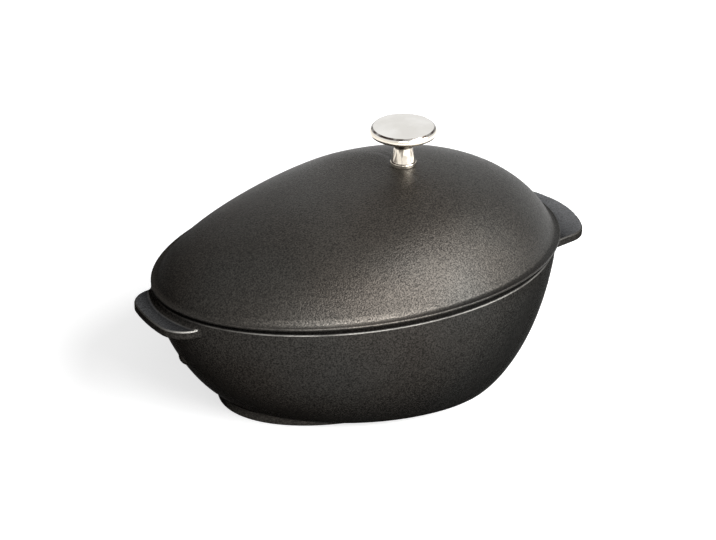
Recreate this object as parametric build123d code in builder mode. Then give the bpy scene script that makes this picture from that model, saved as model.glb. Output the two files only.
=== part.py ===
from build123d import *
from dataclasses import dataclass
import os

# Cast iron mussel pot with a high domed lid, a turned metal knob and a lift-out strainer.
# Sizes are in millimetres. The origin is the middle of the flat foot and +Z is up. The pot is
# egg-shaped seen from above: its narrow tip points along -X and its broad end along +X.


@dataclass
class Egg:
    """A level outline: the x of its ends and of its widest place, its half width, and how far
    each side runs on towards the tip before it turns, as a share of that stretch."""

    tip_x: float
    broad_x: float
    widest_x: float
    half_width: float
    side_run: float

    def shrunk(self, inset):
        """The same outline drawn in by an inset all round."""
        return Egg(
            self.tip_x + inset,
            self.broad_x - inset,
            self.widest_x,
            self.half_width - inset,
            self.side_run,
        )


@dataclass
class Taper:
    """How a wall draws in along its height: bow shapes its start and tuck shapes its end."""

    bow: float
    tuck: float

    def left(self, travel):
        """Share of the way in that is still left after a share of the height."""
        return (1 - travel**self.bow) ** (1 / self.tuck)


@dataclass
class Lug:
    """A level handle tab that widens from its outer end to its root inside the wall."""

    reach_x: float
    root_x: float
    end_half_width: float
    root_half_width: float
    end_bow: float
    corner_radius: float


# How far an egg's ends run on before they turn, and its sides towards the broad end, as shares
tip_end_run = 0.513
broad_end_run = 0.495
broad_side_run = 0.606

# Pot wall
rim_height = 79.8
rim = Egg(tip_x=-137.8, broad_x=122.5, widest_x=0.1, half_width=96.6, side_run=0.527)
wall = 4.2
rim_edge_radius = 1.0
mouth_edge_radius = 0.5

# Hull, from the rim down to the foot
hull_bottom = Egg(tip_x=-92.0, broad_x=81.8, widest_x=9.3, half_width=77.6, side_run=0.494)
hull_tip_taper = Taper(bow=1.49, tuck=1.49)
hull_broad_taper = Taper(bow=1.35, tuck=1.69)
hull_side_taper = Taper(bow=2.72, tuck=0.98)
heel_fill = 9.0
heel_bow = 12
heel_radius = 3.0
floor_height = 5.5

# Foot
foot = Egg(tip_x=-97.6, broad_x=76.0, widest_x=9.3, half_width=61.0, side_run=0.66)
foot_height = 5.0
foot_edge_radius = 0.8
foot_rise = 1.0

# Small rounded nub low on the tip
nub_height = 42.5
nub_radius = 6.2
nub_stand = 1.2

# Lugs at the two ends, set below the rim
lug_drop = 4.3
lug_thickness = 5.4
lug_edge_radius = 1.2
lug_root_radius = 2.8
tip_lug = Lug(
    reach_x=-148.4,
    root_x=-118.0,
    end_half_width=28.8,
    root_half_width=31.8,
    end_bow=3.8,
    corner_radius=17.0,
)
broad_lug = Lug(
    reach_x=145.2,
    root_x=100.0,
    end_half_width=35.4,
    root_half_width=41.0,
    end_bow=10.4,
    corner_radius=16.0,
)

# Lid edge, which oversails the rim a little at both ends, the seat under it and the lip that
# keeps it in place
lid_tip_overhang = 0.2
lid_broad_overhang = 3.9
lid_side_inset = 1.4
lid_edge_lift = 1.8
lid_edge_thickness = 1.6
lid_edge_radius = 0.6
seat_inset = 3.0
lip_clearance = 1.0
lip_depth = 3.5
lip_thickness = 4.6

# Lid dome
dome_setback = 4.0
dome_root_radius = 3.0
lid_wall = 3.8
lid_height = 52.2
crown_x = 26.3
crown_radius = 8.6
crown_side_run = 0.408
dome_tip_taper = Taper(bow=1.59, tuck=1.47)
dome_broad_taper = Taper(bow=1.33, tuck=2.34)
dome_side_taper = Taper(bow=1.19, tuck=2.69)

# Knob, turned from one bar
knob_foot_radius = 7.7
knob_foot_band = 2.6
knob_foot_edge = 0.4
knob_groove = 0.5
knob_stem_radius = 6.8
knob_neck_radius = 5.3
knob_neck_height = 11.5
knob_flare_radius = 9.0
knob_flare_height = 18.2
knob_underside_radius = 18.8
knob_underside_height = 21.5
knob_disc_radius = 20.1
knob_disc_height = 22.8
knob_top_radius = 18.6
knob_shoulder_height = 25.7
knob_height = 26.5
knob_bore_depth = 13.0

# Screw that holds the knob from inside the lid
screw_radius = 3.0
thread_play = 0.05
screw_hole_clearance = 0.4
screw_engagement = 10.0
screw_head_radius = 5.8
screw_head_height = 3.6
screw_head_round = 1.4
screw_slot_width = 1.6
screw_slot_depth = 1.8

# Washers under the screw head, and the flat pad that they bear on
flat_washer_radius = 9.0
flat_washer_thickness = 1.6
spring_washer_radius = 5.4
spring_washer_thickness = 1.6
spring_washer_split = 1.4
washer_clearance = 0.3
pad_radius = 10.5
pad_depth = 1.2

# Strainer, a perforated dish that rests inside the tapering wall
strainer_height = 22.0
strainer_clearance = 0.4
strainer_sheet = 1.2
strainer_depth = 9.0
strainer_hole_radius = 3.5
strainer_pitch = 17.0
strainer_margin = 8.0

# Heights that follow from the sizes above
lug_top = rim_height - lug_drop
lug_bottom = lug_top - lug_thickness
edge_bottom = rim_height + lid_edge_lift
crown_height = rim_height + lid_height
edge_top = edge_bottom + lid_edge_thickness
lip_bottom = rim_height - lip_depth
pad_height = crown_height - lid_wall - pad_depth
mouth_inset = wall + lip_clearance
lip_inner_inset = mouth_inset + lip_thickness
dome_inner_inset = dome_setback + lid_wall
bore_radius = screw_radius + thread_play
head_height = pad_height - flat_washer_thickness - spring_washer_thickness - screw_head_height
screw_tip = crown_height + screw_engagement
standing = (Align.CENTER, Align.CENTER, Align.MIN)
hole_rows = 2 * int(-rim.tip_x / strainer_pitch) + 3
head_top = head_height + screw_head_height

# Shares of the height at which the outlines of the dome and of the hull are set
dome_shares = [0, 0.06, 0.14, 0.24, 0.36, 0.49, 0.62, 0.74, 0.84, 0.92, 0.965]
hull_shares = [0, 0.12, 0.26, 0.4, 0.53, 0.65, 0.75, 0.84, 0.91, 0.96, 1]


def between(start, end, share):
    """The value a share of the way from a start to an end."""
    return start + (end - start) * share


def egg_face(egg, height):
    """Level face of an egg outline at a height."""
    tip_length = egg.widest_x - egg.tip_x
    broad_length = egg.broad_x - egg.widest_x
    side_point = (egg.widest_x, egg.half_width)
    with BuildSketch(Plane.XY.offset(height)) as face:
        with BuildLine():
            Bezier(
                (egg.broad_x, 0),
                (egg.broad_x, egg.half_width * broad_end_run),
                (egg.widest_x + broad_length * broad_side_run, egg.half_width),
                side_point,
            )
            Bezier(
                side_point,
                (egg.widest_x - tip_length * egg.side_run, egg.half_width),
                (egg.tip_x, egg.half_width * tip_end_run),
                (egg.tip_x, 0),
            )
            mirror(about=Plane.XZ)
        make_face()
    return face.sketch


def drawn_in(start, end, travel, tip_taper, broad_taper, side_taper):
    """Egg after a share of the height on the way from a start egg to an end egg."""
    side_left = side_taper.left(travel)
    return Egg(
        tip_x=between(end.tip_x, start.tip_x, tip_taper.left(travel)),
        broad_x=between(end.broad_x, start.broad_x, broad_taper.left(travel)),
        widest_x=between(end.widest_x, start.widest_x, side_left),
        half_width=between(end.half_width, start.half_width, side_left),
        side_run=between(start.side_run, end.side_run, travel),
    )


def lid_egg(inset=0.0):
    """Outline of the lid's edge, drawn in by an inset."""
    edge = Egg(
        rim.tip_x - lid_tip_overhang,
        rim.broad_x + lid_broad_overhang,
        rim.widest_x,
        rim.half_width - lid_side_inset,
        rim.side_run,
    )
    return edge.shrunk(inset)


def hull_egg(travel, inset=0.0):
    """Outline of the pot's wall after a share of the way down, drawn in by an inset."""
    outer = drawn_in(rim, hull_bottom, travel, hull_tip_taper, hull_broad_taper, hull_side_taper)
    return outer.shrunk(inset)


def hull_tip_x(height):
    """The x of the wall's outside on the tip's centre line at a height."""
    return hull_egg((rim_height - height) / (rim_height - foot_height)).tip_x


def cavity_egg(height, clearance=0.0):
    """Outline of the pot's inside at a height, with its thick heel, drawn in by a clearance."""
    travel = (rim_height - height) / (rim_height - floor_height)
    return hull_egg(travel, wall + heel_fill * travel**heel_bow + clearance)


def hull_sections():
    """Faces of the pot's outer wall from the rim down to the foot."""
    return [
        egg_face(hull_egg(share), between(rim_height, foot_height, share))
        for share in hull_shares
    ]


def cavity_sections():
    """Faces of the pot's inside from the rim down to its floor."""
    heights = [between(rim_height, floor_height, share) for share in hull_shares]
    return [egg_face(cavity_egg(height), height) for height in heights]


def dome_sections(base, top):
    """Faces of a dome from a base egg on the lid's edge up to the small flat crown."""
    peak = Egg(crown_x, crown_x, crown_x, 0, crown_side_run)
    faces = [
        egg_face(
            drawn_in(base, peak, share, dome_tip_taper, dome_broad_taper, dome_side_taper),
            between(edge_top, top, share),
        )
        for share in dome_shares
    ]
    crown = peak.shrunk(-crown_radius)
    return faces + [egg_face(crown, top)]


def strainer_sections(lift, clearance):
    """Faces of the strainer's dish from a lift above its underside up to its rim."""
    heights = [
        between(strainer_height + lift, strainer_height + strainer_depth, share)
        for share in (0, 0.5, 1)
    ]
    return [egg_face(cavity_egg(height, clearance), height) for height in heights]


def lug_face(lug):
    """Level face of a lug, at the height of its top."""
    end_x = lug.reach_x - lug.end_bow * (1 if lug.reach_x > 0 else -1)
    with BuildSketch(Plane.XY.offset(lug_top)) as face:
        with BuildLine():
            ThreePointArc(
                (end_x, -lug.end_half_width),
                (lug.reach_x, 0),
                (end_x, lug.end_half_width),
            )
            Polyline(
                (end_x, lug.end_half_width),
                (lug.root_x, lug.root_half_width),
                (lug.root_x, -lug.root_half_width),
                (end_x, -lug.end_half_width),
            )
        make_face()
        fillet(face.vertices().sort_by_distance((lug.reach_x, 0))[:2], lug.corner_radius)
    return face.sketch


# Pot body, with its lugs, foot and nub in one casting
with BuildPart() as pot_body:
    for lug in (tip_lug, broad_lug):
        extrude(lug_face(lug), amount=-lug_thickness)
    fillet(pot_body.edges().filter_by(Plane.XY), lug_edge_radius)
    loft(hull_sections())
    lug_roots = pot_body.edges().filter_by(GeomType.BSPLINE)
    fillet(
        lug_roots.filter_by_position(Axis.Z, lug_bottom - lug_edge_radius, lug_top + lug_edge_radius),
        lug_root_radius,
    )
    fillet(pot_body.edges().group_by(Axis.Z)[0], heel_radius)
    extrude(egg_face(foot, 0), amount=foot_height + foot_rise)
    with Locations((hull_tip_x(nub_height) - nub_stand + nub_radius, 0, nub_height)):
        Sphere(nub_radius)
    loft(cavity_sections(), mode=Mode.SUBTRACT)
    fillet(pot_body.faces().sort_by(Axis.Z)[-1].outer_wire().edges(), rim_edge_radius)
    fillet(pot_body.faces().sort_by(Axis.Z)[-1].inner_wires()[0].edges(), mouth_edge_radius)
    fillet(pot_body.faces().sort_by(Axis.Z)[0].outer_wire().edges(), foot_edge_radius)
pot_body.part.label = "pot_body"

# Lid, with its edge, seat, locating lip, screw pad and screw hole
with BuildPart() as lid:
    extrude(egg_face(lid_egg(), edge_bottom), amount=lid_edge_thickness)
    fillet(lid.edges().filter_by(Plane.XY), lid_edge_radius)
    loft(dome_sections(lid_egg(dome_setback), crown_height))
    dome_root = lid.edges().filter_by_position(Axis.Z, edge_top - 0.1, edge_top + 0.1)
    fillet(dome_root.sort_by(SortBy.LENGTH)[0], dome_root_radius)
    extrude(egg_face(rim.shrunk(seat_inset), rim_height), amount=lid_edge_lift)
    extrude(egg_face(rim.shrunk(mouth_inset), rim_height), amount=-lip_depth)
    loft(dome_sections(lid_egg(dome_inner_inset), crown_height - lid_wall), mode=Mode.SUBTRACT)
    extrude(
        egg_face(rim.shrunk(lip_inner_inset), edge_top),
        amount=lip_bottom - edge_top,
        mode=Mode.SUBTRACT,
    )
    with Locations((crown_x, 0, pad_height)):
        Cylinder(pad_radius, crown_height - lid_wall / 2 - pad_height, align=standing)
    with Locations((crown_x, 0, crown_height)):
        Hole(screw_radius + screw_hole_clearance)
lid.part.label = "lid"

# Knob, revolved from its half profile and bored for the screw
with BuildPart() as knob:
    with BuildSketch(Plane((crown_x, 0, crown_height), x_dir=(1, 0, 0), z_dir=(0, -1, 0))):
        with BuildLine():
            Polyline(
                (0, knob_height),
                (0, knob_bore_depth),
                (bore_radius, knob_bore_depth),
                (bore_radius, 0),
                (knob_foot_radius - knob_foot_edge, 0),
                (knob_foot_radius, knob_foot_edge),
                (knob_foot_radius, knob_foot_band),
                (knob_stem_radius, knob_foot_band + knob_groove),
            )
            Spline(
                (knob_stem_radius, knob_foot_band + knob_groove),
                (knob_neck_radius, knob_neck_height),
                (knob_flare_radius, knob_flare_height),
                (knob_underside_radius, knob_underside_height),
                (knob_disc_radius, knob_disc_height),
                tangents=[(-0.2, 1), (0, 1)],
            )
            Spline(
                (knob_disc_radius, knob_disc_height),
                (knob_top_radius, knob_shoulder_height),
                tangents=[(0, 1), (-1, 0.2)],
            )
            TangentArc((0, knob_height), (knob_top_radius, knob_shoulder_height), tangent=(1, 0))
        make_face()
    revolve(axis=Axis((crown_x, 0, 0), (0, 0, 1)))
knob.part.label = "knob"

# Flat washer against the pad
with BuildPart() as flat_washer:
    with BuildSketch(Plane.XY.offset(pad_height)):
        with Locations((crown_x, 0)):
            Circle(flat_washer_radius)
            Circle(screw_radius + washer_clearance, mode=Mode.SUBTRACT)
    extrude(amount=-flat_washer_thickness)
flat_washer.part.label = "flat_washer"

# Spring washer, split on one side, on top of the screw head
with BuildPart() as spring_washer:
    with BuildSketch(Plane.XY.offset(head_top)):
        with Locations((crown_x, 0)):
            Circle(spring_washer_radius)
            Circle(screw_radius + washer_clearance, mode=Mode.SUBTRACT)
        with Locations((crown_x, 0)):
            Rectangle(
                spring_washer_radius,
                spring_washer_split,
                align=(Align.MIN, Align.CENTER),
                mode=Mode.SUBTRACT,
            )
    extrude(amount=spring_washer_thickness)
spring_washer.part.label = "spring_washer"

# Screw with a slotted pan head, up through the lid into the knob
with BuildPart() as knob_screw:
    with Locations((crown_x, 0, head_height)):
        Cylinder(screw_head_radius, screw_head_height, align=standing)
        fillet(knob_screw.edges().group_by(Axis.Z)[0], screw_head_round)
        Cylinder(screw_radius, screw_tip - head_height, align=standing)
        Box(
            2 * screw_head_radius,
            screw_slot_width,
            screw_slot_depth,
            align=standing,
            mode=Mode.SUBTRACT,
        )
knob_screw.part.label = "knob_screw"

# Strainer, a thin dish with rows of drain holes
with BuildPart() as strainer:
    loft(strainer_sections(0, strainer_clearance))
    loft(strainer_sections(strainer_sheet, strainer_clearance + strainer_sheet), mode=Mode.SUBTRACT)
    drained = egg_face(cavity_egg(strainer_height, strainer_margin), strainer_height).face()
    with Locations((0, 0, strainer_height)):
        with HexLocations(strainer_pitch / 2, hole_rows, hole_rows) as grid:
            spots = [spot for spot in grid.locations if drained.is_inside(spot.position)]
    with Locations(*spots):
        Hole(strainer_hole_radius)
strainer.part.label = "strainer"

# Output
os.makedirs("parts", exist_ok=True)
for piece in (pot_body, lid, knob, knob_screw, flat_washer, spring_washer, strainer):
    export_step(piece.part, f"parts/{piece.part.label}.step")
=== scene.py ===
import math

import bpy
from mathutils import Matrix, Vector


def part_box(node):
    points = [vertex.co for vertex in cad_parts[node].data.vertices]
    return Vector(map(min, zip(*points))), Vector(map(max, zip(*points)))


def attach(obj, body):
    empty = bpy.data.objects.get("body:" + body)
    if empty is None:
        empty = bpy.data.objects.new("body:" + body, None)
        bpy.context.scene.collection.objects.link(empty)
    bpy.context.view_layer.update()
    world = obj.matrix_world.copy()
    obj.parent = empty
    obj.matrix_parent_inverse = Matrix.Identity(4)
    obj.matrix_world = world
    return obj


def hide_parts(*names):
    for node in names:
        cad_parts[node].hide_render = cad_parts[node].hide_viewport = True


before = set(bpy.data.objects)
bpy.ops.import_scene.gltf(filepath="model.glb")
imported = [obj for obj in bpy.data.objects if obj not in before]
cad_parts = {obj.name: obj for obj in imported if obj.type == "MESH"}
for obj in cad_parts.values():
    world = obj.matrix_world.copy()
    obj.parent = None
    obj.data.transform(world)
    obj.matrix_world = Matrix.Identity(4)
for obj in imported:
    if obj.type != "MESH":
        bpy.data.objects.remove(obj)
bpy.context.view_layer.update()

# Lengths are in metres and angles in degrees. A ramp is a range of a value and what its two ends become,
# which is 0 and 1 where it doesn't say. A band is a range and the soft length at both its ends.

# Camera, and the place in the picture of the point that it looks at
IMAGE_WIDTH = 716
IMAGE_HEIGHT = 540
CAMERA_AZIMUTH = -30.435
CAMERA_ELEVATION = 27.068
CAMERA_DISTANCE = 1.8693
CAMERA_TARGET = Vector((0, 0, 0.070))
CAMERA_REACH = (0.05, 50)
FOCAL_PIXELS = 3088.0
TARGET_PIXEL = (365.5, 266.2)
SENSOR_WIDTH = 36.0

# Lamps, placed by azimuth and elevation round the object, with their power in watts, and how strongly the
# white surround lights the object
LAMPS = (
    dict(name="key", azimuth=28, elevation=31, distance=1.6, width=1.9, height=1.7, power=71.0),
    dict(name="fill", azimuth=-30, elevation=40, distance=1.8, width=0.9, height=0.9, power=6.0),
)
STUDIO_LIGHT = 0.14

# Floor: half its width, its depth under the foot, and its glow near the object and far away
FLOOR_REACH = 6.0
FLOOR_DEPTH = 0.0002
FLOOR_COLOUR = (0.62, 0.62, 0.62)
FLOOR_ROUGHNESS = 0.9
FLOOR_GLOW_RAMP = (0.8, 3.0, 0.70, 1.00)

# Heights: the rim's top, the lugs' tops below it, the top of the lid's edge above it, and one below it all
RIM_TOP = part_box("pot_body")[1].z
LUG_TOP = RIM_TOP - 0.0043
LID_EDGE_TOP = RIM_TOP + 0.0034
BELOW_FLOOR = -0.100

# Enamel's sand grain, specks, and slow drift of tone and hue
GRAIN_NOISE = dict(scale=1080, rough=0.6)
GRAIN_RANGE = (0.33, 0.67)
SPECK_NOISE = dict(scale=2100, detail=1.0)
SPECK_RAMP = (0.35, 0.70, -0.20, 0.26)
DRIFT_NOISE = dict(scale=17, detail=3.0)
DRIFT_RAMP = (0.35, 0.65, 0.38, 0.60)
HUE_NOISE = dict(scale=9)
HUE_RAMP = (0.38, 0.62)
BROWN_HUE = (1.05, 0.995, 0.95)
BLUE_HUE = (0.97, 1.0, 1.01)

# Enamel's relief: distance and strength of each bump
PEEL_NOISE = dict(scale=240)
PEEL_BUMP = (0.0004, 0.16)
GRAIN_BUMP = (0.0006, 0.50)
SPECK_BUMP = (0.0003, 0.26)

# Enamel's roughness, which falls from the dark grain to the light, and falls again where an edge is worn
# and has a painted highlight
MATTE_RANGE = (0.3, 0.7)
MATTE_CHANGE = 0.05
WORN_AND_LIT_CHANGE = -0.08

# Enamel is painted darker, as painted shade, and made less metallic along a line towards the tip and its
# far flank, and along X towards the broad end
TIPWARD = (-0.87, 0.50, 0.0)
TIP_PAINTED_SHADE_RANGE = (0.020, 0.120)
TIP_METAL_RANGE = (0.035, 0.115)
BROAD_PAINTED_SHADE_RANGE = (0.060, 0.135)
BROAD_METAL_RAMP = (0.070, 0.130, 1.0, 0.6)

# Edges worn bare, with a painted highlight: their colour, how far they tilt up, how patchy they are, and
# the heights of the three
WORN_AND_LIT = (0.30, 0.29, 0.27)
WORN_AND_LIT_TILT_BAND = (0.34, 0.90, 0.10)
WORN_AND_LIT_NOISE = dict(scale=48, detail=3.0)
WORN_AND_LIT_RAMP = (0.36, 0.60, 0.35, 1.0)
RIM_EDGE_BAND = (RIM_TOP - 0.0008, RIM_TOP + 0.0002, 0.0002)
LUG_EDGE_BAND = (LUG_TOP - 0.0011, LUG_TOP + 0.0002, 0.0002)
LID_EDGE_BAND = (LID_EDGE_TOP - 0.0008, LID_EDGE_TOP + 0.0001, 0.0002)

# Lug tops, with a painted sheen of light from above: how flat and how high they are, where they start, and
# their painted sheen from there to the outer end. The tip's lug is darker on its near side, and the broad
# end's is lighter all over. One gives way to the other in the middle of X.
LUG_SHEEN_TINT = (0.99, 1.0, 1.03)
LUG_FLAT_RAMP = (0.90, 0.97)
LUG_HEIGHT_BAND = (LUG_TOP - 0.0006, LUG_TOP + 0.0006, 0.0002)
LUG_START_RAMP = (0.112, 0.122)
LUG_SHEEN_RAMP = (0.118, 0.146, 0.024, 0.074)
LUG_SIDE_SHEEN_RAMP = (-0.030, 0.030, 0.66, 1.15)
LUG_GRAIN_RAMP = (0.3, 0.7, 0.72, 1.28)
MIDDLE_RANGE = (-0.01, 0.01)
BROAD_LUG_SHEEN_GAIN = 2.0

# Painted shade and light on the pot: painted shade darker low down, and painted light on the foot
POT_PAINTED_SHADE_BAND = (BELOW_FLOOR, 0.0420, 0.0300)
POT_FOOT_PAINTED_LIGHT_BAND = (BELOW_FLOOR, 0.0048, 0.0018)
POT_PAINTED_SHADES = (
    dict(heights=POT_PAINTED_SHADE_BAND, tone=0.75),
    dict(heights=POT_FOOT_PAINTED_LIGHT_BAND, tone=1.80),
)

# Painted light and shade on the lid: painted shade down its edge and lip, painted light just above the
# edge and on the edge's top towards the tip, and painted shade on the edge's top towards the broad end
LID_SIDE_PAINTED_SHADE_BAND = (BELOW_FLOOR, LID_EDGE_TOP - 0.0007, 0.0003)
LID_ROLL_PAINTED_LIGHT_BAND = (LID_EDGE_TOP - 0.0004, LID_EDGE_TOP + 0.0030, 0.0007)
LID_LINE_PAINTED_LIGHT_BAND = (LID_EDGE_TOP - 0.0004, LID_EDGE_TOP + 0.0011, 0.0003)
LID_CORNER_PAINTED_SHADE_BAND = (LID_EDGE_TOP - 0.0006, LID_EDGE_TOP + 0.0008, 0.0003)
LID_PAINTED_SHADES = (
    dict(heights=LID_SIDE_PAINTED_SHADE_BAND, tone=0.45),
    dict(heights=LID_ROLL_PAINTED_LIGHT_BAND, along=(-0.095, -0.030, 0.030), tone=1.90),
    dict(heights=LID_LINE_PAINTED_LIGHT_BAND, along=(-0.095, -0.010, 0.030), tone=1.70),
    dict(heights=LID_CORNER_PAINTED_SHADE_BAND, along=(0.020, 0.300, 0.040), tone=0.60),
)

# Worn edges with a painted highlight, by height and along X: two stretches of the rim, the tip's lug, the
# broad end's lug, and the whole edge of the lid
POT_WEAR_AND_HIGHLIGHT = (
    dict(heights=RIM_EDGE_BAND, along=(-0.120, -0.055, 0.016), share=0.75),
    dict(heights=RIM_EDGE_BAND, along=(-0.055, 0.086, 0.016), share=0.40),
    dict(heights=LUG_EDGE_BAND, along=(-0.144, -0.112, 0.006), share=1.0),
    dict(heights=LUG_EDGE_BAND, along=(0.106, 0.160, 0.008), share=0.12),
)
LID_WEAR_AND_HIGHLIGHT = (
    dict(heights=LID_EDGE_BAND, along=(-0.200, 0.200, 0.010), share=0.03),
)

# The two castings, one enamel, with the lid's painted lighter than the pot's as painted light. Grain moves
# the tone between dark and light, and each has its own painted shade towards its ends, its own metal share
# in the middle and at the tip, and its own reflection at grazing angles.
POT_ENAMEL = dict(
    dark=(0.0138, 0.0134, 0.0126),
    light=(0.0438, 0.0416, 0.0388),
    grain_tone=0.72,
    end_painted_shade=0.75,
    metal=0.70,
    tip_metal=0.60,
    grazing=0.10,
    roughness=0.42,
    painted_shades=POT_PAINTED_SHADES,
    wear_and_highlight=POT_WEAR_AND_HIGHLIGHT,
    has_lug_sheen=True,
)
LID_ENAMEL = dict(
    dark=(0.0215, 0.0207, 0.0195),
    light=(0.065, 0.061, 0.0555),
    grain_tone=0.56,
    end_painted_shade=0.50,
    metal=0.82,
    tip_metal=0.09,
    grazing=0.95,
    roughness=0.38,
    painted_shades=LID_PAINTED_SHADES,
    wear_and_highlight=LID_WEAR_AND_HIGHLIGHT,
)

# Half profile of the knob above the lid, as radius and height. The stem and the rim are smooth lines.
KNOB_BORE = ((0, 0.0130), (0.00305, 0.0130), (0.00305, 0))
KNOB_FOOT = ((0.0075, 0), (0.0078, 0.0004), (0.0078, 0.0022), (0.0075, 0.0026))
KNOB_STEM = (
    (0.00725, 0.0028), (0.00655, 0.0063), (0.0059, 0.0098), (0.00575, 0.0130),
    (0.0076, 0.0162), (0.0120, 0.0182), (0.0182, 0.0197), (0.0197, 0.0204),
)
KNOB_RIM = ((0.0197, 0.0204), (0.0201, 0.0216), (0.0199, 0.0232), (0.0191, 0.0243))
KNOB_TOP_RADIUS = 0.0185
KNOB_TOP_HEIGHT = 0.0249
KNOB_CROWN_HEIGHT = 0.0259
KNOB_CROWN_PARTS = 8
KNOB_LINE_PARTS = 6
KNOB_SEGMENTS = 128
KNOB_SHARP_ANGLE = 32

# Nickel of the knob: its clouding, a painted warm reflection on its flank, haze and ripple
NICKEL_DARK = (0.74, 0.72, 0.68)
NICKEL_LIGHT = (0.86, 0.845, 0.815)
NICKEL_WARM_REFLECTION = (1.0, 0.935, 0.84)
CLOUD_NOISE = dict(scale=55, detail=3.0)
CLOUD_RAMP = (0.35, 0.65)
WARM_REFLECTION_RAMP = (0.0230, 0.0242, 1.0, 0.0)
HAZE_NOISE = dict(scale=160, detail=4.0)
HAZE_RAMP = (0.35, 0.7, 0.07, 0.13)
RIPPLE_NOISE = dict(scale=700)
RIPPLE_BUMP = (0.00002, 0.3)

# Darkening of the nickel, by radius and by height above the knob's foot: a patchy painted dark reflection
# on the shoulder, darker in the groove, painted shade under the disc, and painted dark reflections in
# streaks down the stem
DARKENED_NICKEL = (0.035, 0.022, 0.015)
SHOULDER_RADIUS_BAND = (0.0183, 0.0194, 0.0002)
SHOULDER_HEIGHT_RAMP = (0.0232, 0.0237)
GROOVE_BAND = (0.0024, 0.0030, 0.0002)
GROOVE_DARKENING = 0.9
UNDERSIDE_BAND = (0.0125, 0.0175, 0.002)
UNDERSIDE_PAINTED_SHADE = 0.30
DARKENING_NOISE = dict(scale=260)
DARKENING_RAMP = (0.3, 0.6, 0.55, 1.0)
STREAK_STRETCH = (330, 330, 60)
STREAK_RAMP = (0.50, 0.62, 0.0, 0.72)
STEM_RADIUS_RAMP = (0.0085, 0.0100, 1.0, 0.0)
STEM_HEIGHT_BAND = (0.0026, 0.0190, 0.0010)
DARKENING_ROUGHNESS = 0.15

# Brushed metals: tones, scale of the brushed lines along each axis, and roughness
STAINLESS = dict(
    dark=(0.36, 0.355, 0.345),
    light=(0.58, 0.57, 0.55),
    stretch=(40, 1800, 1800),
    roughness=0.42,
)
ZINC = dict(
    dark=(0.40, 0.40, 0.39),
    light=(0.62, 0.61, 0.57),
    stretch=(900, 900, 90),
    roughness=0.38,
)
LINE_NOISE = dict(detail=4.0, rough=0.6)
LINE_RAMP = (0.3, 0.7, 0.15, 0.85)
LINE_RANGE = (0.3, 0.7)
LINE_ROUGHNESS = 0.07
LINE_BUMP = (0.00006, 0.5)
MARK_NOISE = dict(scale=38, detail=4.0, rough=0.6)
MARK_RAMP = (0.4, 0.62, -0.25, 0.20)
SPOT_NOISE = dict(scale=420, detail=1.0)
SPOT_RAMP = (0.66, 0.74)
SPOT_SHARE = 0.5
SPOT_ROUGHNESS = 0.12


def direction(azimuth, elevation):
    """Unit vector from the object towards something at an azimuth and an elevation."""
    a = math.radians(azimuth)
    e = math.radians(elevation)
    return Vector((math.sin(a) * math.cos(e), -math.cos(a) * math.cos(e), math.sin(e)))


def placed(name, data, location, rotation=None):
    """A new object in the scene."""
    made = bpy.data.objects.new(name, data)
    made.location = location
    if rotation is not None:
        made.rotation_mode = "QUATERNION"
        made.rotation_quaternion = rotation
    bpy.context.scene.collection.objects.link(made)
    return made


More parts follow.
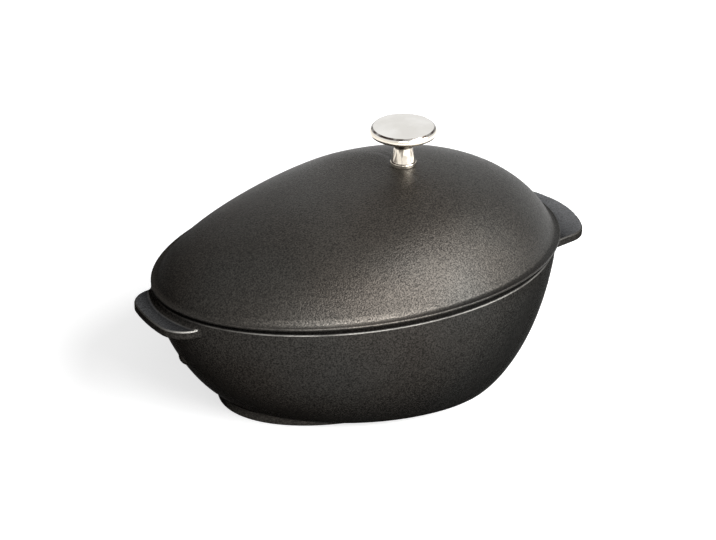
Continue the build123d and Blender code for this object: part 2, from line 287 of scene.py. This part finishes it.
class Shader:
    """The node tree of a material or a world, with short calls for the nodes that are used here."""

    def __init__(self, owner):
        owner.use_nodes = True
        self.tree = owner.node_tree
        self.tree.nodes.clear()

    def feed(self, socket, value):
        """Gives a socket another node's output, a colour or a plain value."""
        if isinstance(value, bpy.types.NodeSocket):
            self.tree.links.new(value, socket)
        elif socket.type == "RGBA":
            socket.default_value = (*value, 1)
        else:
            socket.default_value = value

    def node(self, kind, settings=None, **inputs):
        """Adds a node. Its inputs are fed by name, or by number after an underscore."""
        made = self.tree.nodes.new(kind)
        for name, value in (settings or {}).items():
            setattr(made, name, value)
        for name, value in inputs.items():
            key = int(name[1:]) if name[1:].isdigit() else name.replace("_", " ")
            self.feed(made.inputs[key], value)
        return made

    def place(self):
        """Coordinates of a point in its piece's own frame."""
        return self.node("ShaderNodeTexCoord").outputs["Object"]

    def stretched(self, scales):
        """Coordinates scaled along each axis."""
        made = self.node("ShaderNodeMapping", Vector=self.place())
        made.inputs["Scale"].default_value = scales
        return made.outputs[0]

    def parts(self, vector):
        """X, Y and Z of a vector."""
        return self.node("ShaderNodeSeparateXYZ", Vector=vector).outputs

    def facing_up(self):
        """The normal's share along Z."""
        return self.parts(self.node("ShaderNodeNewGeometry").outputs["Normal"])[2]

    def noise(self, scale=1.0, detail=2.0, rough=0.5, place=None):
        """Smooth noise between 0 and 1."""
        place = place or self.place()
        made = self.node("ShaderNodeTexNoise", Scale=scale, Detail=detail, Roughness=rough, Vector=place)
        return made.outputs["Fac"]

    def ramp(self, value, low, high, to_low=0.0, to_high=1.0):
        """Value mapped from one range to another, and held at its ends."""
        made = self.node("ShaderNodeMapRange", _0=value, _1=low, _2=high, _3=to_low, _4=to_high)
        return made.outputs[0]

    def band(self, value, low, high, soft):
        """1 between two limits and 0 outside them, with soft ends."""
        rise = self.ramp(value, low - soft, low + soft)
        fall = self.ramp(value, high - soft, high + soft, 1.0, 0.0)
        return self.product(rise, fall)

    def combine(self, operation, first, second=0.0):
        """A number worked out from one or two others."""
        return self.node("ShaderNodeMath", {"operation": operation}, _0=first, _1=second).outputs["Value"]

    def sum(self, first, second):
        return self.combine("ADD", first, second)

    def product(self, first, second):
        return self.combine("MULTIPLY", first, second)

    def length(self, vector):
        return self.node("ShaderNodeVectorMath", {"operation": "LENGTH"}, _0=vector).outputs["Value"]

    def along(self, vector, line):
        """How far a vector reaches along a line."""
        settings = {"operation": "DOT_PRODUCT"}
        return self.node("ShaderNodeVectorMath", settings, _0=vector, _1=line).outputs["Value"]

    def blend(self, share, first, second, kind="MIX"):
        """Two colours mixed, with this share of the second."""
        settings = {"data_type": "RGBA", "blend_type": kind}
        return self.node("ShaderNodeMix", settings, _0=share, _6=first, _7=second).outputs[2]

    def tint(self, first, second):
        """Two colours multiplied."""
        return self.blend(1.0, first, second, "MULTIPLY")

    def grey(self, shade):
        return self.node("ShaderNodeCombineXYZ", X=shade, Y=shade, Z=shade).outputs[0]

    def bump(self, height, distance, strength, normal=None):
        """The normal bent by a height, on top of an earlier bump."""
        made = self.node("ShaderNodeBump", Height=height, Distance=distance, Strength=strength)
        if normal:
            self.feed(made.inputs["Normal"], normal)
        return made.outputs["Normal"]

    def seen(self):
        """1 for a ray from the camera, straight or by way of metal or glass, and 0 for lighting."""
        path = self.node("ShaderNodeLightPath").outputs
        direct = self.combine("MAXIMUM", path["Is Camera Ray"], path["Is Glossy Ray"])
        return self.combine("MAXIMUM", direct, path["Is Transmission Ray"])

    def surface(self, shader):
        self.node("ShaderNodeOutputMaterial", Surface=shader.outputs[0])


def patch(s, heights, along=None):
    """1 between two heights and between two X."""
    x, _, height = s.parts(s.place())
    here = s.band(height, *heights)
    if along:
        here = s.product(here, s.band(x, *along))
    return here


def worn_and_lit_edge(s, wear_and_highlight):
    """How far edges with a small round are worn bare and given a painted highlight, patchily, and only
    where they tilt up.
    """
    rubbed_and_lit = 0.0
    for edge in wear_and_highlight:
        here = patch(s, edge["heights"], edge["along"])
        rubbed_and_lit = s.sum(rubbed_and_lit, s.product(here, edge["share"]))
    tilted = s.band(s.facing_up(), *WORN_AND_LIT_TILT_BAND)
    uneven = s.ramp(s.noise(**WORN_AND_LIT_NOISE), *WORN_AND_LIT_RAMP)
    return s.product(s.product(tilted, rubbed_and_lit), uneven)


def lug_top_sheen(s):
    """Share 1 on the flat tops of the lugs, and the painted sheen of light from above on them."""
    x, y, height = s.parts(s.place())
    reach = s.combine("ABSOLUTE", x)
    flat = s.product(s.ramp(s.facing_up(), *LUG_FLAT_RAMP), s.band(height, *LUG_HEIGHT_BAND))
    share = s.product(flat, s.ramp(reach, *LUG_START_RAMP))
    gain = s.ramp(x, *MIDDLE_RANGE, 1.0, BROAD_LUG_SHEEN_GAIN)
    side = s.combine("MAXIMUM", s.ramp(y, *LUG_SIDE_SHEEN_RAMP), s.ramp(x, *MIDDLE_RANGE))
    shade = s.product(s.product(s.ramp(reach, *LUG_SHEEN_RAMP), gain), side)
    return share, shade


def iron(s, grain, speck, dark, light, grain_tone):
    """Colour of sand cast iron under enamel, with its grain, fine specks and slow drift."""
    drift = s.ramp(s.noise(**DRIFT_NOISE), *DRIFT_RAMP)
    tone = s.sum(s.ramp(grain, *GRAIN_RANGE, -grain_tone, grain_tone), drift)
    tone = s.sum(tone, s.ramp(speck, *SPECK_RAMP))
    hue = s.blend(s.ramp(s.noise(**HUE_NOISE), *HUE_RAMP), BROWN_HUE, BLUE_HUE)
    return s.tint(s.blend(tone, dark, light), hue)


def painted_shading(s, end_painted_shade, painted_shades):
    """Painted shade and painted light on a casting from place to place, with 1 in its middle."""
    x = s.parts(s.place())[0]
    tip = s.ramp(s.along(s.place(), TIPWARD), *TIP_PAINTED_SHADE_RANGE, 1.0, end_painted_shade)
    shade = s.product(tip, s.ramp(x, *BROAD_PAINTED_SHADE_RANGE, 1.0, end_painted_shade))
    for each in painted_shades:
        here = patch(s, each["heights"], each.get("along"))
        shade = s.product(shade, s.ramp(here, 0.0, 1.0, 1.0, each["tone"]))
    return shade


def metal_share(s, metal, tip_metal):
    """How metallic a casting is, from its middle to its tip and its broad end."""
    x = s.parts(s.place())[0]
    tip = s.ramp(s.along(s.place(), TIPWARD), *TIP_METAL_RANGE, metal, tip_metal)
    return s.product(tip, s.ramp(x, *BROAD_METAL_RAMP))


def relief(s, grain, speck):
    """Normal of enamel over sand cast iron: a soft peel, the grain and the specks."""
    peel = s.bump(s.noise(**PEEL_NOISE), *PEEL_BUMP)
    sand = s.bump(grain, *GRAIN_BUMP, peel)
    return s.bump(speck, *SPECK_BUMP, sand)


def enamel(
    name, dark, light, grain_tone, end_painted_shade, metal, tip_metal, grazing, roughness, painted_shades, wear_and_highlight,
    has_lug_sheen=False,
):
    """Matte black enamel: fine sandy grain, brown and blue drift, painted shade and light, a painted sheen
    on the lug tops, and edges worn bare with a painted highlight.
    """
    material = bpy.data.materials.new(name)
    s = Shader(material)
    grain = s.noise(**GRAIN_NOISE)
    speck = s.noise(**SPECK_NOISE)
    colour = iron(s, grain, speck, dark, light, grain_tone)
    # Painted shade and painted light over the casting
    colour = s.tint(colour, s.grey(painted_shading(s, end_painted_shade, painted_shades)))
    # Painted sheen on the lug tops
    if has_lug_sheen:
        share, shade = lug_top_sheen(s)
        painted_sheen = s.grey(s.product(shade, s.ramp(grain, *LUG_GRAIN_RAMP)))
        colour = s.blend(share, colour, s.tint(painted_sheen, LUG_SHEEN_TINT))
    # Worn edges with a painted highlight
    rubbed_and_lit = worn_and_lit_edge(s, wear_and_highlight)
    colour = s.blend(rubbed_and_lit, colour, WORN_AND_LIT)
    matte = s.ramp(grain, *MATTE_RANGE, roughness + MATTE_CHANGE, roughness - MATTE_CHANGE)
    rough = s.sum(matte, s.product(rubbed_and_lit, WORN_AND_LIT_CHANGE))
    normal = relief(s, grain, speck)
    shader = s.node("ShaderNodeBsdfPrincipled", Base_Color=colour, Roughness=rough, Normal=normal)
    s.feed(shader.inputs["Metallic"], metal_share(s, metal, tip_metal))
    shader.inputs["Specular IOR Level"].default_value = 0.0
    shader.inputs["Specular Tint"].default_value = (grazing, grazing, grazing, 1)
    s.surface(shader)
    return material


def painted_darkening(s):
    """Painted dark reflections on the shoulder and in streaks down the stem, painted shade under the disc,
    and a darker groove.
    """
    x, y, height = s.parts(s.place())
    radius = s.length(s.node("ShaderNodeCombineXYZ", X=x, Y=y).outputs[0])
    shoulder = s.product(s.band(radius, *SHOULDER_RADIUS_BAND), s.ramp(height, *SHOULDER_HEIGHT_RAMP))
    groove = s.product(s.band(height, *GROOVE_BAND), GROOVE_DARKENING)
    underside = s.product(s.band(height, *UNDERSIDE_BAND), UNDERSIDE_PAINTED_SHADE)
    uneven = s.ramp(s.noise(**DARKENING_NOISE), *DARKENING_RAMP)
    darkened = s.product(s.sum(s.sum(shoulder, groove), underside), uneven)
    stem = s.product(s.ramp(radius, *STEM_RADIUS_RAMP), s.band(height, *STEM_HEIGHT_BAND))
    streaks = s.ramp(s.noise(place=s.stretched(STREAK_STRETCH)), *STREAK_RAMP)
    return s.sum(darkened, s.product(streaks, stem))


def nickel(name):
    """Polished nickel: soft clouding, a painted warm reflection on the flank, haze, and painted dark
    reflections and shade.
    """
    material = bpy.data.materials.new(name)
    s = Shader(material)
    height = s.parts(s.place())[2]
    colour = s.blend(s.ramp(s.noise(**CLOUD_NOISE), *CLOUD_RAMP), NICKEL_DARK, NICKEL_LIGHT)
    # Painted warm reflection on the flank
    colour = s.blend(s.ramp(height, *WARM_REFLECTION_RAMP), colour, s.tint(colour, NICKEL_WARM_REFLECTION))
    # Painted dark reflections and painted shade
    darkened = painted_darkening(s)
    colour = s.blend(darkened, colour, DARKENED_NICKEL)
    haze = s.ramp(s.noise(**HAZE_NOISE), *HAZE_RAMP)
    rough = s.sum(haze, s.product(darkened, DARKENING_ROUGHNESS))
    normal = s.bump(s.noise(**RIPPLE_NOISE), *RIPPLE_BUMP)
    shader = s.node("ShaderNodeBsdfPrincipled", Base_Color=colour, Roughness=rough, Normal=normal)
    shader.inputs["Metallic"].default_value = 1.0
    s.surface(shader)
    return material


def brushed(name, dark, light, stretch, roughness):
    """Brushed metal: fine parallel lines, cloudy water marks and a few dull spots."""
    material = bpy.data.materials.new(name)
    s = Shader(material)
    lines = s.noise(**LINE_NOISE, place=s.stretched(stretch))
    marks = s.ramp(s.noise(**MARK_NOISE), *MARK_RAMP)
    spots = s.ramp(s.noise(**SPOT_NOISE), *SPOT_RAMP)
    tone = s.sum(s.ramp(lines, *LINE_RAMP), marks)
    colour = s.blend(s.product(spots, SPOT_SHARE), s.blend(tone, dark, light), dark)
    fine = s.ramp(lines, *LINE_RANGE, roughness - LINE_ROUGHNESS, roughness + LINE_ROUGHNESS)
    rough = s.sum(fine, s.product(spots, SPOT_ROUGHNESS))
    normal = s.bump(lines, *LINE_BUMP)
    shader = s.node("ShaderNodeBsdfPrincipled", Base_Color=colour, Roughness=rough, Normal=normal)
    shader.inputs["Metallic"].default_value = 1.0
    s.surface(shader)
    return material


def dress(material, *pieces):
    """Gives pieces their finished material."""
    for piece in pieces:
        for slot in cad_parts[piece].material_slots:
            slot.material = material


def between(before, start, end, after, share):
    """A number part of the way from start to end, on a smooth line that heeds its two neighbours."""
    leaving = (end - before) / 2
    arriving = (after - start) / 2
    square = 3 * (end - start) - 2 * leaving - arriving
    cube = 2 * (start - end) + leaving + arriving
    return start + share * (leaving + share * (square + share * cube))


def smooth_line(points):
    """Points of a smooth line through the given ones, up to the last."""
    made = []
    ends = [points[0], *points, points[-1]]
    for neighbours in zip(ends, ends[1:], ends[2:], ends[3:]):
        for step in range(KNOB_LINE_PARTS):
            made.append(tuple(between(*values, step / KNOB_LINE_PARTS) for values in zip(*neighbours)))
    return made


def knob_crown():
    """Points of the knob's domed top, from its edge to its middle."""
    rise = KNOB_CROWN_HEIGHT - KNOB_TOP_HEIGHT
    shares = [1 - step / KNOB_CROWN_PARTS for step in range(KNOB_CROWN_PARTS + 1)]
    return [(KNOB_TOP_RADIUS * share, KNOB_CROWN_HEIGHT - rise * share ** 2) for share in shares]


def knob_profile():
    """The knob's half profile, from the end of its bore to the middle of its top."""
    flank = [*smooth_line(KNOB_STEM), *smooth_line(KNOB_RIM), KNOB_RIM[-1]]
    return [*KNOB_BORE, *KNOB_FOOT, *flank, *knob_crown()]


def turned(profile):
    """Points and faces of a half profile turned round Z. Its first and last points are on the axis."""
    angles = [2 * math.pi * step / KNOB_SEGMENTS for step in range(KNOB_SEGMENTS)]
    rings = [
        (radius * math.cos(angle), radius * math.sin(angle), height)
        for radius, height in profile[1:-1]
        for angle in angles
    ]
    points = [(0, 0, profile[0][1]), *rings, (0, 0, profile[-1][1])]
    sides = [(step, (step + 1) % KNOB_SEGMENTS) for step in range(KNOB_SEGMENTS)]
    last = 1 + len(rings) - KNOB_SEGMENTS
    faces = []
    for ring in range(1, last, KNOB_SEGMENTS):
        above = ring + KNOB_SEGMENTS
        faces += [(ring + here, ring + after, above + after, above + here) for here, after in sides]
    for here, after in sides:
        faces.append((0, 1 + after, 1 + here))
        faces.append((last + here, last + after, len(points) - 1))
    return points, faces


def turned_knob():
    """The knob as one turned piece on the lid's crown."""
    points, faces = turned(knob_profile())
    mesh = bpy.data.meshes.new("turned_knob")
    mesh.from_pydata(points, [], faces)
    mesh.polygons.foreach_set("use_smooth", [True] * len(mesh.polygons))
    mesh.set_sharp_from_angle(angle=math.radians(KNOB_SHARP_ANGLE))
    mesh.materials.append(nickel("knob_nickel"))
    low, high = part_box("knob")
    made = placed("turned_knob", mesh, ((low.x + high.x) / 2, (low.y + high.y) / 2, low.z))
    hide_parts("knob")
    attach(made, "lid")


def camera():
    """The camera, with its lens and crop worked out from the picture's size."""
    data = bpy.data.cameras.new("camera")
    data.sensor_width = SENSOR_WIDTH
    data.lens = FOCAL_PIXELS * SENSOR_WIDTH / IMAGE_WIDTH
    data.shift_x = (IMAGE_WIDTH / 2 - TARGET_PIXEL[0]) / IMAGE_WIDTH
    data.shift_y = (TARGET_PIXEL[1] - IMAGE_HEIGHT / 2) / IMAGE_WIDTH
    data.clip_start, data.clip_end = CAMERA_REACH
    back = direction(CAMERA_AZIMUTH, CAMERA_ELEVATION)
    location = CAMERA_TARGET + back * CAMERA_DISTANCE
    bpy.context.scene.camera = placed("camera", data, location, (-back).to_track_quat("-Z", "Y"))


def lamp(name, azimuth, elevation, distance, width, height, power):
    """A large soft lamp that faces the object."""
    data = bpy.data.lights.new(name, "AREA")
    data.shape = "ELLIPSE"
    data.size = width
    data.size_y = height
    data.energy = power
    back = direction(azimuth, elevation)
    placed(name, data, CAMERA_TARGET + back * distance, back.to_track_quat("Z", "Y"))


def studio():
    """A surround that looks white and lights the object only dimly."""
    made = bpy.data.worlds.new("studio")
    bpy.context.scene.world = made
    s = Shader(made)
    strength = s.ramp(s.seen(), 0, 1, STUDIO_LIGHT, 1.0)
    white = s.node("ShaderNodeBackground", Color=(1, 1, 1), Strength=strength)
    s.node("ShaderNodeOutputWorld", Surface=white.outputs[0])


def pale_floor(name):
    """Matte floor material, with a glow that lights nothing."""
    material = bpy.data.materials.new(name)
    s = Shader(material)
    glow = s.product(s.seen(), s.ramp(s.length(s.place()), *FLOOR_GLOW_RAMP))
    shader = s.node("ShaderNodeBsdfPrincipled", Base_Color=FLOOR_COLOUR, Roughness=FLOOR_ROUGHNESS)
    s.feed(shader.inputs["Emission Strength"], glow)
    shader.inputs["Emission Color"].default_value = (1, 1, 1, 1)
    shader.inputs["Specular IOR Level"].default_value = 0.0
    s.surface(shader)
    return material


def floor():
    """A wide floor just under the foot."""
    mesh = bpy.data.meshes.new("floor")
    corners = [(x * FLOOR_REACH, y * FLOOR_REACH, 0) for x, y in ((-1, -1), (1, -1), (1, 1), (-1, 1))]
    mesh.from_pydata(corners, [], [(0, 1, 2, 3)])
    mesh.materials.append(pale_floor("floor"))
    made = placed("floor", mesh, (0, 0, -FLOOR_DEPTH))


bpy.context.scene.view_settings.view_transform = "Standard"
camera()
for each in LAMPS:
    lamp(**each)
studio()
floor()

dress(enamel("pot_enamel", **POT_ENAMEL), "pot_body")
dress(enamel("lid_enamel", **LID_ENAMEL), "lid")
turned_knob()
dress(brushed("stainless", **STAINLESS), "strainer")
dress(brushed("plated", **ZINC), "knob_screw", "flat_washer", "spring_washer")
